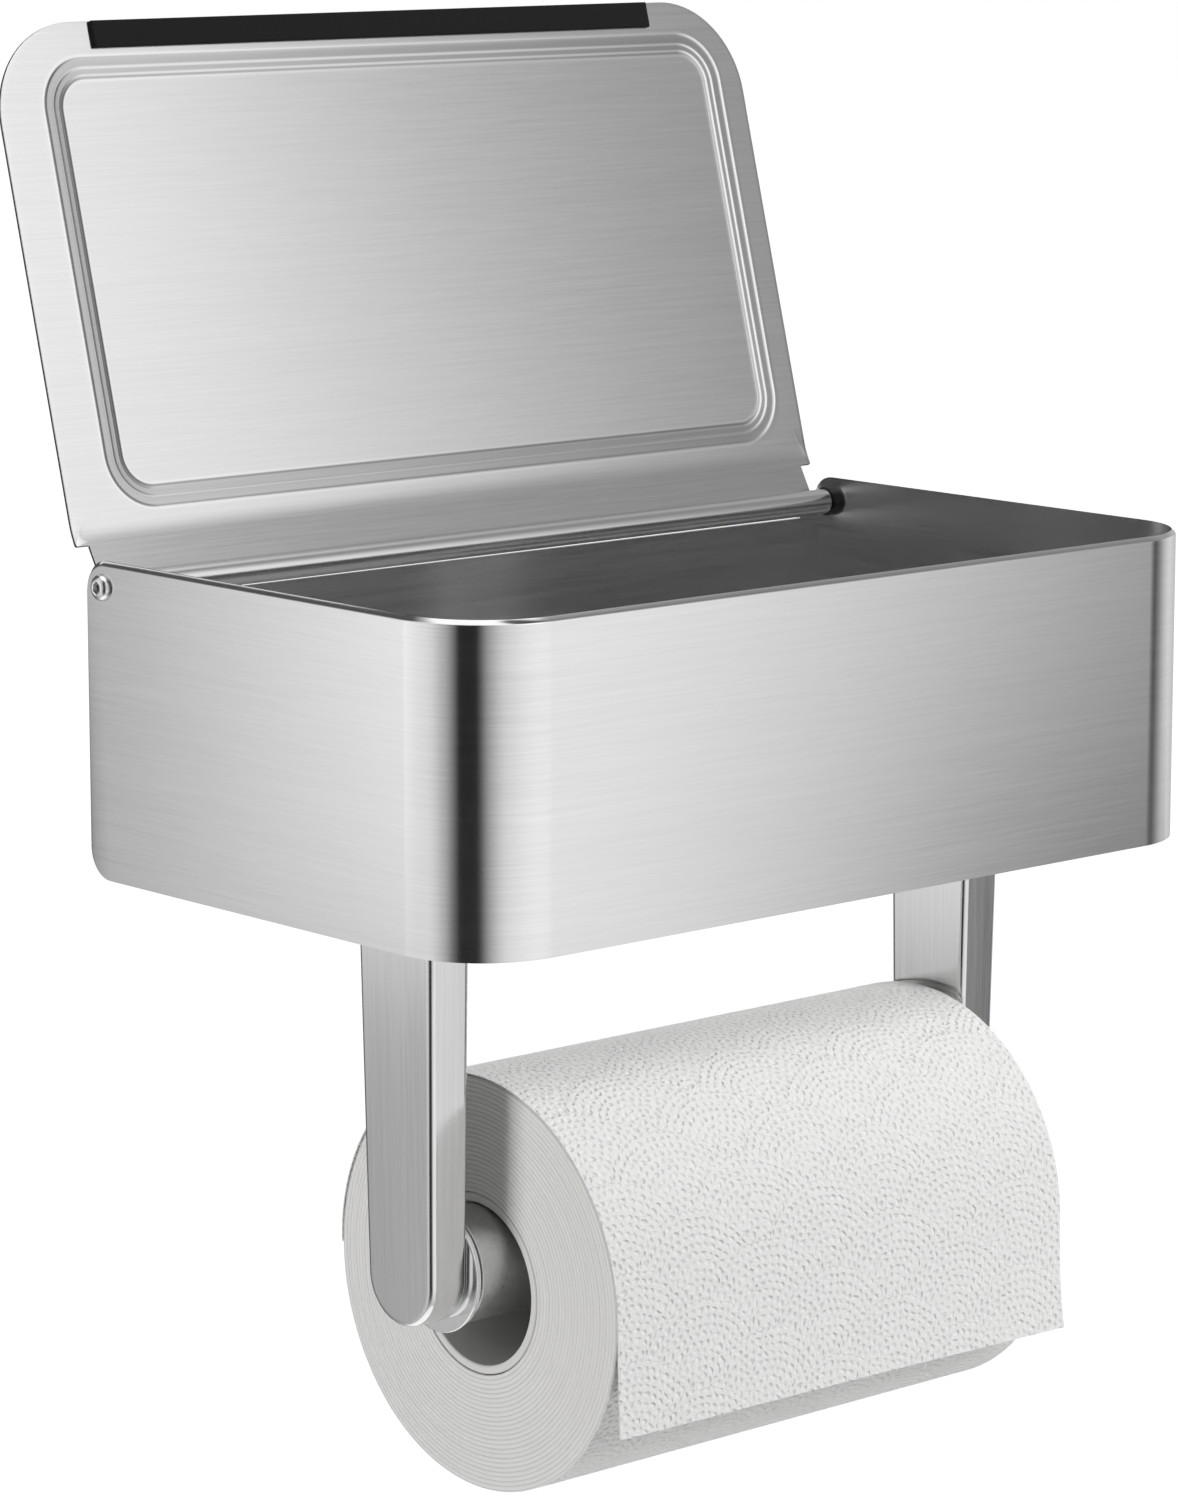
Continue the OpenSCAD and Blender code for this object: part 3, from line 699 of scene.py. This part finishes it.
def makeBumper():
    s, b = lidSizes, bumper
    rear, front, low = s["reach"] - b["wide"], s["reach"], s["face"]
    side = rounded([(rear, low), (rear, low + b["high"], b["corner"]), (front, low + b["high"], b["corner"]),
                    (front, low)])
    profile = []
    for u, v in side:
        share = (u - rear) / b["wide"] * 2 - 1
        profile.append((u, v - (b["crown"] * share * share if v > low + 0.5 else 0)))
    stations = [(-b["half"], 0.9), (-b["half"] + 0.12, 0.985), (-b["half"] + 0.3, 1.0)]
    stations += [(-b["half"] + 0.3 + (2 * b["half"] - 0.6) * k / 12, 1.0) for k in range(1, 12)]
    stations += [(-x, grow) for x, grow in reversed(stations[:3])]
    points = []
    middle = (rear + front) / 2
    for x, grow in stations:
        narrow = 0.97 + 0.03 * grow
        points += [(x, middle + (u - middle) * narrow, low + (v - low) * grow) for u, v in profile]
    count = len(profile)
    faces = gridFaces(len(stations), count)
    faces += [list(range(count)), [(len(stations) - 1) * count + k for k in range(count)]]
    piece = newPiece("lidBumper", points, faces, "lid", rubber, ["lid_bumper"], lidPlace)
    return evenShading(piece, 50)


makeBumper()

tubeLow, tubeHigh = boxMm("hinge_tube")
turned("hingeTube", rounded([(tubeLow.x, 2.2), (tubeLow.x, 2.5, 0.15), (tubeLow.x + 0.5, 3, 0.2),
                             (tubeHigh.x - 0.5, 3, 0.2), (tubeHigh.x, 2.5, 0.15), (tubeHigh.x, 2.2)]),
       "lid", tubeSkin, at(0, hinge.y, hinge.z), closed=True, replaced=["hinge_tube"])
print("lid, bumper and hinge tube made")

# hinge screws: domed heads with a hex socket
screw = dict(head=2.85, high=1.65, hex=1.33, deep=1.1, shank=1.5, bite=8, tip=0.2, foot=0.1,
             lip=0.08, domePower=(0.9, 0.75))


def makeHingeScrew(side):
    s = screw
    dome = []
    for a in range(6, 61, 6):
        rise, fall = math.sin(math.radians(a)), math.cos(math.radians(a))
        dome.append((rise ** s["domePower"][0], s["head"] * fall ** s["domePower"][1]))
    flatten = (s["high"] - s["foot"]) / dome[-1][0]
    dome = [(s["foot"] + x * flatten, min(radius, s["head"])) for x, radius in dome]
    foot = [(0.0, s["head"] - 0.12), (s["lip"], s["head"])]
    top = s["high"]
    outline = [(-s["bite"], 0), (-s["bite"], s["shank"] - s["tip"]), (-s["bite"] + s["tip"], s["shank"]),
               (0, s["shank"]), *foot, *dome, (top, s["hex"] * 1.07), (top - 0.04, s["hex"], "hex"),
               (top - s["deep"], s["hex"] * 0.99, "hex"), (top - s["deep"] - 0.15, 0)]
    place = at(bandHigh.x if side > 0 else bandLow.x, hinge.y, hinge.z)
    if side < 0:
        place = place @ Matrix.Rotation(math.pi, 4, "Z")
    name = "hingeScrewRight" if side > 0 else "hingeScrewLeft"
    turned(name, outline, "holder", screwSteel, place, replaced=["hinge_screws"],
           keep=35)


for side in (-1, 1):
    makeHingeScrew(side)

# arms: tapered bars with round ends and softened edges
arm = dict(endR=10.66, lean=0.0124, cuts=48, edge=1.5, edgeCuts=8)


def makeArm(node, name, side):
    low, high = boxMm(node)
    inner = high.x if side < 0 else low.x
    outer = low.x if side < 0 else high.x
    top = high.z
    half, endR = (high.y - low.y) / 2, arm["endR"]
    middle = (low.y + high.y) / 2
    axisZ = low.z + endR
    slope = math.asin((half - endR) / (top - axisZ))
    loop = [(middle - half, top), (middle + half, top)]
    for i in range(arm["cuts"] + 1):
        a = slope - i * (math.pi + 2 * slope) / arm["cuts"]
        loop.append((middle + endR * math.cos(a), axisZ + endR * math.sin(a)))
    count = len(loop)
    points = [(inner, y, z) for y, z in loop]
    points += [(outer - side * arm["lean"] * (top - z), y, z) for y, z in loop]
    faces = [list(range(count)), [count + k for k in range(count)]]
    faces += [(k, (k + 1) % count, count + (k + 1) % count, count + k) for k in range(count)]
    piece = newPiece(name, points, faces, "holder", armSkin, [node])
    thicken(piece, 0, arm["edge"], steps=arm["edgeCuts"], angle=40)
    layBrushing(piece, (0, 0, 1))
    return evenShading(piece)


makeArm("arm_left", "armLeft", -1)
makeArm("arm_right", "armRight", 1)
print("arms made")

# socket discs, roller and its ends
sleeveLow, sleeveHigh = boxMm("roller_sleeve")
axis = (sleeveLow + sleeveHigh) / 2
disc = dict(r=13.6, thick=2.4, inset=0.75, stepAt=0.95, pin=4.06, boss=5.5, bossLong=4.4, deep=5.9)


def makeDisc(node, name, side):
    low, high = boxMm(node)
    face = high.x if side < 0 else low.x
    d = disc
    thick, end, step = d["thick"], d["thick"] + d["bossLong"], d["r"] - d["inset"]
    outline = rounded([(0, d["pin"]), (0, d["r"] - 1.3, 0.5), (0.55, step, 0.2), (d["stepAt"], step, 0.15),
                       (d["stepAt"], d["r"], 0.35), (thick, d["r"], 0.3), (thick, d["boss"]),
                       (end, d["boss"]), (end, 0), (d["deep"], 0), (d["deep"], d["pin"])], steps=5)
    place = at(face, axis.y, axis.z)
    if side < 0:
        place = place @ Matrix.Rotation(math.pi, 4, "Z")
    turned(name, outline, "holder", chrome, place, closed=True, replaced=[node],
           keep=60)


makeDisc("socket_left", "socketLeft", -1)
makeDisc("socket_right", "socketRight", 1)

sleeveR, sleeveBore, plungerWall = 12.4, 11.4, 1
turned("rollerSleeve", rounded([(sleeveLow.x, sleeveBore), (sleeveLow.x, sleeveR, 0.4),
                                (sleeveHigh.x, sleeveR, 0.35), (sleeveHigh.x, sleeveBore)]),
       "roller", satin, at(0, axis.y, axis.z), closed=True, replaced=["roller_sleeve"])
plungeLow, plungeHigh = boxMm("plunger_tube")
plungeR = (plungeHigh.z - plungeLow.z) / 2
turned("plungerTube", rounded([(plungeLow.x, plungeR - plungerWall), (plungeLow.x, plungeR, 0.1),
                               (plungeHigh.x, plungeR, 0.3), (plungeHigh.x, plungeR - plungerWall)]),
       "plunger", satin, at(0, axis.y, axis.z), closed=True, replaced=["plunger_tube"])

# coil spring
springLow, springHigh = boxMm("roller_spring")
coil = dict(wire=0.6, r=8, turns=9, cuts=36, sides=12, push=6)


def makeSpring():
    c = coil
    length = springHigh.x - springLow.x
    steps = c["cuts"] * c["turns"]
    points = []
    for i in range(steps + 1):
        middle = springLow.x + c["wire"] + (length - 2 * c["wire"]) * i / steps
        turn = 2 * math.pi * i / c["cuts"]
        for j in range(c["sides"]):
            about = 2 * math.pi * j / c["sides"]
            x, reach = middle + c["wire"] * math.sin(about), c["r"] + c["wire"] * math.cos(about)
            points.append((x, reach * math.cos(turn), reach * math.sin(turn)))
    faces = gridFaces(steps + 1, c["sides"])
    faces += [list(range(c["sides"])), [steps * c["sides"] + j for j in range(c["sides"])]]
    piece = newPiece("rollerSpring", points, faces, "roller", springWire, ["roller_spring"],
                     at(0, axis.y, axis.z))
    piece.data.set_sharp_from_angle(angle=math.radians(50))
    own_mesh(piece)


makeSpring()

# arm screws on the floor of the box
armScrew = dict(r=2, tip=0.3, head=3.5, high=2.2, hex=1.96, hexFloor=0.8)


def makeArmScrews():
    low, high = boxMm("arm_screws")
    s = armScrew
    under = high.z - s["high"]
    end = low.z - under
    head = rounded([(0, s["head"]), (s["high"], s["head"], 0.5), (s["high"], s["hex"] * 1.05)], closed=False)
    outline = [(end, 0), (end, s["r"] - s["tip"]), (end + s["tip"], s["r"]), (0, s["r"]), *head,
               (s["high"] - 0.05, s["hex"], "hex"), (s["hexFloor"], s["hex"] * 0.99, "hex"),
               (s["hexFloor"] - 0.2, 0)]
    for number, (sx, sy) in enumerate([(-1, -1), (-1, 1), (1, -1), (1, 1)], 1):
        x = (high.x - s["head"]) * sx
        y = (low.y + high.y) / 2 + sy * ((high.y - low.y) / 2 - s["head"])
        place = at(x, y, under) @ Matrix.Rotation(-math.pi / 2, 4, "Y")
        turned(f"armScrew_{number}", outline, "holder", zinc, place, replaced=["arm_screws"],
               keep=40)


makeArmScrews()
print("discs, roller and screws made")

# paper roll: core, wound paper and the loose layer
paper = dict(r=45.3, bore=19.8, coreR=17.8, ridge=1.02, groove=0.24, uneven=0.05, cuts=5)


def addPaperMap(piece, perimeter):
    mesh = piece.data
    layer = mesh.uv_layers.new(name="paper")
    for face in mesh.polygons:
        ys = []
        for loop in face.loop_indices:
            spot = mesh.vertices[mesh.loops[loop].vertex_index].co
            ys.append(math.atan2(spot.z, spot.y))
        wraps = max(ys) - min(ys) > math.pi
        for loop, angle in zip(face.loop_indices, ys):
            spot = mesh.vertices[mesh.loops[loop].vertex_index].co
            turn = angle + 2 * math.pi if wraps and angle < 0 else angle
            layer.data[loop].uv = (spot.x, turn * perimeter * mm)


def makeRoll():
    p = paper
    x0, x1 = rollLow.x, rollHigh.x
    faceLine = []
    inner, outer = p["bore"] + 0.1, p["r"] - 0.4
    ridges = round((outer - inner) / p["ridge"])
    for number in range(ridges):  # each band of layers stands a little proud of the groove beside it
        proud = random.uniform(0, p["uneven"])
        for k in range(p["cuts"]):
            share = k / p["cuts"]
            depth = 0.03 + proud + p["groove"] * (1 - math.sin(math.pi * share) ** 0.7)
            faceLine.append((depth, inner + (outer - inner) * (number + share) / ridges))
    faceLine.append((0.15, outer))
    left = [(x0 + depth, radius) for depth, radius in faceLine]
    right = [(x1 - depth, radius) for depth, radius in reversed(faceLine)]
    round1 = [(x0 + 0.12, p["r"] - 0.2), (x0 + 0.35, p["r"] - 0.04), (x0 + 0.7, p["r"])]
    long = [(x0 + (x1 - x0) * k / 24, p["r"]) for k in range(1, 24)]
    round2 = [(x1 - 0.7, p["r"]), (x1 - 0.35, p["r"] - 0.04), (x1 - 0.12, p["r"] - 0.2)]
    outline = left + round1 + long + round2 + right
    piece = turned("rollPaper", outline, "roll", tissue, at(0, rollMid.y, rollMid.z), closed=True, cuts=160,
                   replaced=["roll_paper"])
    piece.data.materials.append(layered)
    for face in piece.data.polygons:
        if abs(face.normal.x) > 0.5:
            face.material_index = 1
    addPaperMap(piece, p["r"])
    coreOut = p["bore"] - 0.08
    core = rounded([(x0 + 0.1, p["coreR"], 0.5), (x0 + 0.1, coreOut, 0.5), (x1 - 0.1, coreOut, 0.5),
                    (x1 - 0.1, p["coreR"], 0.5)])
    turned("rollCore", core, "roll", card, at(0, rollMid.y, rollMid.z), closed=True, replaced=["roll_core"])


makeRoll()

sheet = dict(r=45.6, thick=0.25, tail=23.8, across=66, arcCuts=90, tailCuts=30, flare=1.1, curl=0.7)


def makeSheet():
    s = sheet
    x0, x1 = rollLow.x, rollHigh.x
    line = []
    for k in range(s["arcCuts"] + 1):
        a = math.pi * k / s["arcCuts"]
        line.append((a, 0.0))
    for k in range(1, s["tailCuts"] + 1):
        line.append((math.pi, s["tail"] * k / s["tailCuts"]))
    points, flat = [], []
    for a, drop in line:
        for i in range(s["across"] + 1):
            share = i / s["across"]
            x = x0 + (x1 - x0) * share
            if a < math.pi:
                tuck = 0.28 * math.exp(-a * 9)
                radius = s["r"] - tuck
                points.append((x, radius * math.cos(a), radius * math.sin(a)))
            else:
                t = drop / s["tail"]
                lift = s["curl"] * t * t + s["flare"] * t ** 3 * max(0, share - 0.45) ** 2 / 0.3
                wave = 0.12 * t * math.sin(share * 9.0 + 0.6)
                longer = 1.2 * t * share
                points.append((x, -s["r"] - lift - wave, -drop - longer))
            flat.append((x * mm, (a * s["r"] + drop) * mm))
    faces = gridFaces(len(line), s["across"] + 1, closed=False)
    piece = newPiece("looseSheet", points, faces, "tail", tissue, ["loose_sheet"],
                     at(0, rollMid.y, rollMid.z))
    layer = piece.data.uv_layers.new(name="paper")
    for loop in piece.data.loops:
        layer.data[loop.index].uv = flat[loop.vertex_index]
    if piece.data.polygons[len(line) // 2 * s["across"]].normal.z < 0:
        piece.data.flip_normals()
    thicken(piece, s["thick"], 0, inward=False)
    piece.data.polygons.foreach_set("use_smooth", [True] * len(piece.data.polygons))
    piece.data.set_sharp_from_angle(angle=math.radians(50))


makeSheet()
print("paper roll and loose sheet made")

# finishes on the CAD pieces that stay
kept = dict(floor_back=traySkin, arm_screw_washers=zinc, hinge_rod=zinc, hinge_washers=nylon,
            roller_tip_fixed=tipPlastic, roller_tip_sprung=tipPlastic, spring_seat=tipPlastic)
for node, material in kept.items():
    mesh = nodes[node].data
    mesh.materials.clear()
    mesh.materials.append(material)
    if node in ("floor_back", "hinge_washers", "arm_screw_washers"):
        soft = nodes[node].modifiers.new("edges", "BEVEL")
        soft.width = (0.25 if node == "floor_back" else 0.15) * mm
        soft.segments = 2
        soft.limit_method = "ANGLE"
        soft.angle_limit = math.radians(50)
        soft.use_clamp_overlap = True
print("carried-over pieces finished")

# studio: a round tent of light and dark panels, a pale floor and soft lights
# panels: marks of degrees round from the left side towards the front, and how bright it is there
# belts: degrees up, then how much of the under, low, high and top panels it shows, then an even level
# lift: towards the right the border between the under and low panels lies this many degrees higher
tent = dict(r=1.5, columns=360, lift=3.4, liftFrom=128, liftOver=5)
panels = dict(
    under=[
        (-180, 0.4), (-165, 0.3), (-150, 0.2), (-110, 0.12), (-72, 0.1), (-57, 0.3), (-51, 0.44),
        (-46, 0.56), (-40, 0.62), (-25, 0.7), (-10, 0.9), (1, 0.75), (10, 0.4), (16, 0.0), (46, 0.0),
        (53, 0.32), (58, 0.6), (66, 0.95), (75, 1.15), (108, 1.15), (122, 1.05), (127, 1.0), (130, 0.7),
        (132.8, 0.35), (135.2, 0.12), (137.5, 0.08), (141, 0.1), (147, 0.1), (155, 0.3), (166, 0.5),
        (180, 0.4)],
    low=[
        (-180, 0.82), (-160, 0.6), (-140, 0.5), (-134, 0.42), (-128, 0.14), (-110, 0.12), (-90, 0.1),
        (-72, 0.12), (-57, 0.34), (-51, 0.52), (-48, 0.86), (-45.5, 1.1), (-43, 1.3), (-38, 1.2),
        (-25, 1.08), (-12, 0.97), (-4, 0.86), (1, 0.73), (6, 0.6), (11, 0.52), (15.7, 0.39), (20.4, 0.2),
        (25, 0.0), (43, 0.0), (47.5, 0.12), (53, 0.35), (60, 0.53), (70, 0.76), (90, 0.98), (105, 1.07),
        (124, 1.12), (127, 1.08), (130, 0.95), (132.8, 0.77), (135.2, 0.54), (137.5, 0.42), (139, 0.33),
        (141, 0.17), (143.5, 0.07), (147, 0.11), (151, 0.24), (155, 0.35), (158, 0.5), (162, 0.62),
        (166, 0.72), (171, 0.82), (175, 0.86), (180, 0.82)],
    high=[
        (-180, 0.5), (-140, 0.4), (-110, 0.12), (-60, 0.12), (-40, 0.9), (-12, 0.85), (1, 0.6), (11, 0.4),
        (20, 0.12), (26, 0.0), (43, 0.0), (53, 0.3), (70, 0.8), (90, 1.2), (97, 1.5), (112, 1.5),
        (121, 1.22), (124, 1.24), (128, 1.12), (130, 0.95), (132, 0.78), (134, 0.6), (137, 0.46),
        (145, 0.33), (160, 0.3), (180, 0.5)],
    top=[
        (-180, 1.7), (100, 1.7), (114, 0.12), (146, 0.12), (162, 1.7), (180, 1.7)])
belts = [
    (-56, 0, 0, 0, 0, 0.7), (-35, 0.8, 0, 0, 0, 0.1), (-22, 1, 0, 0, 0, 0), (-15.9, 1, 0, 0, 0, 0),
    (-14.7, 0, 1, 0, 0, 0), (13, 0, 1, 0, 0, 0), (23, 0, 0, 1, 0, 0), (50, 0, 0, 1, 0, 0),
    (57, 0, 0, 0.15, 0.4, 0), (63, 0, 0, 0, 1, 0), (77, 0, 0, 0, 1, 0), (83, 0, 0, 0, 0, 1.8),
    (90, 0, 0, 0, 0, 1.8)]


def markLevel(marks, angle):
    for (a, one), (b, two) in zip(marks, marks[1:]):
        if a <= angle <= b:
            return one + (two - one) * (angle - a) / (b - a)
    return marks[0][1]


def makeTent():
    t = tent
    points, glow = [], []
    for up, *shares, even in belts:
        for k in range(t["columns"]):
            angle = -180 + 360 * k / t["columns"]
            phi = math.radians(180 + angle)
            share = min(1, max(0, (angle - t["liftFrom"]) / t["liftOver"])) if -16 < up < -14 else 0
            rise = math.radians(up + t["lift"] * share)
            points.append((t["r"] * math.cos(rise) * math.cos(phi), t["r"] * math.cos(rise) * math.sin(phi),
                           t["r"] * math.sin(rise)))
            levels = [share * markLevel(marks, angle) for share, marks in zip(shares, panels.values())]
            glow.append(sum(levels) + even)
    mesh = bpy.data.meshes.new("tent")
    mesh.from_pydata(points, [], gridFaces(len(belts), t["columns"]))
    level = mesh.attributes.new("glow", "FLOAT", "POINT")
    level.data.foreach_set("value", glow)
    piece = bpy.data.objects.new("tent", mesh)
    bpy.context.scene.collection.objects.link(piece)
    material = bpy.data.materials.new("tentPanels")
    material.use_nodes = True
    tree = material.node_tree
    tree.nodes.clear()
    shade = put(tree, "ShaderNodeAttribute", {"attribute_name": "glow"}).outputs["Fac"]
    light = put(tree, "ShaderNodeEmission", None, Strength=shade)
    put(tree, "ShaderNodeOutputMaterial", None, Surface=light.outputs[0])
    mesh.materials.append(material)
    material.cycles.emission_sampling = "NONE"
    piece.visible_camera = False
    piece.visible_diffuse = False
    piece.visible_shadow = False


studioFloor = -2.2


def makeFloor():
    mesh = bpy.data.meshes.new("floor")
    size = 30
    mesh.from_pydata([(-size, -size, studioFloor), (size, -size, studioFloor), (size, size, studioFloor),
                      (-size, size, studioFloor)], [], [(0, 1, 2, 3)])
    piece = bpy.data.objects.new("floor", mesh)
    bpy.context.scene.collection.objects.link(piece)
    material, tree, shader = newMaterial("paleFloor")
    shader.inputs["Base Color"].default_value = (0.9, 0.9, 0.9, 1)
    shader.inputs["Roughness"].default_value = 1.0
    shader.inputs["Emission Color"].default_value = (1, 1, 1, 1)
    shader.inputs["Emission Strength"].default_value = 0.9
    mesh.materials.append(material)
    piece.visible_diffuse = False


# soft lights for the paper and plastic; the metal mirrors the tent's panels only
lights = dict(key=dict(place=(0.75, -1.35, 0.85), size=0.8, power=26),
              side=dict(place=(-1.4, 0.0, -0.35), size=0.6, power=10),
              rear=dict(place=(0.7, 1.2, 0.35), size=0.8, power=18),
              floor=dict(place=(0.2, -0.5, -1.6), size=0.8, power=10), ambient=0.2)
lightAim = Vector((0, -0.07, -0.1))


def makeLights():
    world = bpy.data.worlds.new("studio")
    world.use_nodes = True
    tree = world.node_tree
    seen = put(tree, "ShaderNodeLightPath").outputs["Is Camera Ray"]
    level = put(tree, "ShaderNodeMapRange", None, Value=seen, i3=lights["ambient"], i4=1.0).outputs[0]
    tree.links.new(level, tree.nodes["Background"].inputs["Strength"])
    tree.nodes["Background"].inputs["Color"].default_value = (1, 1, 1, 1)
    bpy.context.scene.world = world
    for name in ("key", "side", "rear", "floor"):
        made = lights[name]
        data = bpy.data.lights.new(name + "Light", "AREA")
        data.shape, data.size, data.energy = "DISK", made["size"], made["power"]
        light = bpy.data.objects.new(name + "Light", data)
        bpy.context.scene.collection.objects.link(light)
        light.location = made["place"]
        light.rotation_euler = (lightAim - light.location).to_track_quat("-Z", "Y").to_euler()
        light.visible_glossy = False


makeTent()
makeFloor()
makeLights()
print("studio ready")
